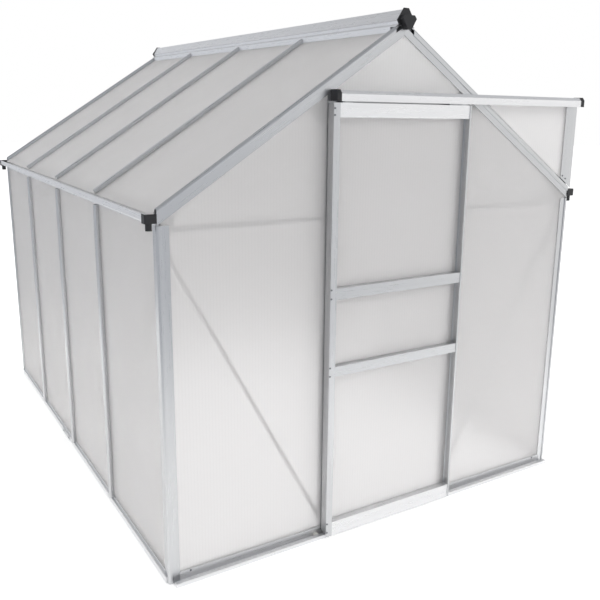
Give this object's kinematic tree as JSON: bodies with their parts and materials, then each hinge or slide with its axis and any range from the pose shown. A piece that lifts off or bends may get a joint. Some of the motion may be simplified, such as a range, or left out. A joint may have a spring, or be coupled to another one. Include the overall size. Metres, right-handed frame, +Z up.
{
  "type": "walk-in polycarbonate greenhouse",
  "caption": "Apex-roof walk-in greenhouse with an aluminium frame, twin-wall panels, side gutters and a door that slides along a front track.",
  "frame": {"origin": "bottom centre of the bounding box, on the ground", "axes": "+X to the right seen from the front, the way the door slides open; +Y from the door wall to the back; +Z up"},
  "size_m": [1.98, 2.594, 1.9978],
  "materials": {
    "aluminium_frame": "satin",
    "panel": "translucent",
    "black_plastic": "matte",
    "white_plastic": "matte",
    "brace_steel": "satin"
  },
  "bodies": {
    "frame": {"base_sill_front": "aluminium_frame", "base_sill_back": "aluminium_frame", "base_sill_left": "aluminium_frame", "base_sill_right": "aluminium_frame", "corner_posts_left": "aluminium_frame", "corner_posts_right": "aluminium_frame", "side_posts_left": "aluminium_frame", "side_posts_right": "aluminium_frame", "door_post_left": "aluminium_frame", "door_post_right": "aluminium_frame", "back_posts": "aluminium_frame", "gutter_left": "aluminium_frame", "gutter_right": "aluminium_frame", "gutter_caps": "black_plastic", "rafter_front_left": "aluminium_frame", "rafter_front_right": "aluminium_frame", "rafter_back_left": "aluminium_frame", "rafter_back_right": "aluminium_frame", "roof_bars_left": "aluminium_frame", "roof_bars_right": "aluminium_frame", "roof_panels_left": "panel", "roof_panels_right": "panel", "ridge_beam": "aluminium_frame", "ridge_caps": "black_plastic", "wall_panels_left": "panel", "wall_panels_right": "panel", "wall_panels_back": "panel", "front_panel_left": "panel", "front_panel_right": "panel", "gable_panel_front": "panel", "front_cross_bar_left": "aluminium_frame", "front_cross_bar_right": "aluminium_frame", "back_cross_bars": "aluminium_frame", "front_brace_left": "brace_steel", "front_brace_right": "brace_steel", "side_braces_left": "brace_steel", "side_braces_right": "brace_steel", "back_braces": "brace_steel", "gusset_plates": "brace_steel", "door_lintel": "aluminium_frame", "door_track": "aluminium_frame", "door_track_caps": "black_plastic", "track_post": "aluminium_frame", "wing_panel": "panel", "door_stop_block": "white_plastic"},
    "door": {"door_stile_left": "aluminium_frame", "door_stile_right": "aluminium_frame", "door_header": "aluminium_frame", "door_mid_rails": "aluminium_frame", "door_bottom_rail": "aluminium_frame", "door_panels": "panel", "door_hangers": "brace_steel", "door_wheels": "white_plastic"}
  },
  "joints": [
    {"name": "door_slide", "type": "slide", "parent": "frame", "child": "door", "axis": [1, 0, 0], "range_m": [0, 0.62]}
  ]
}
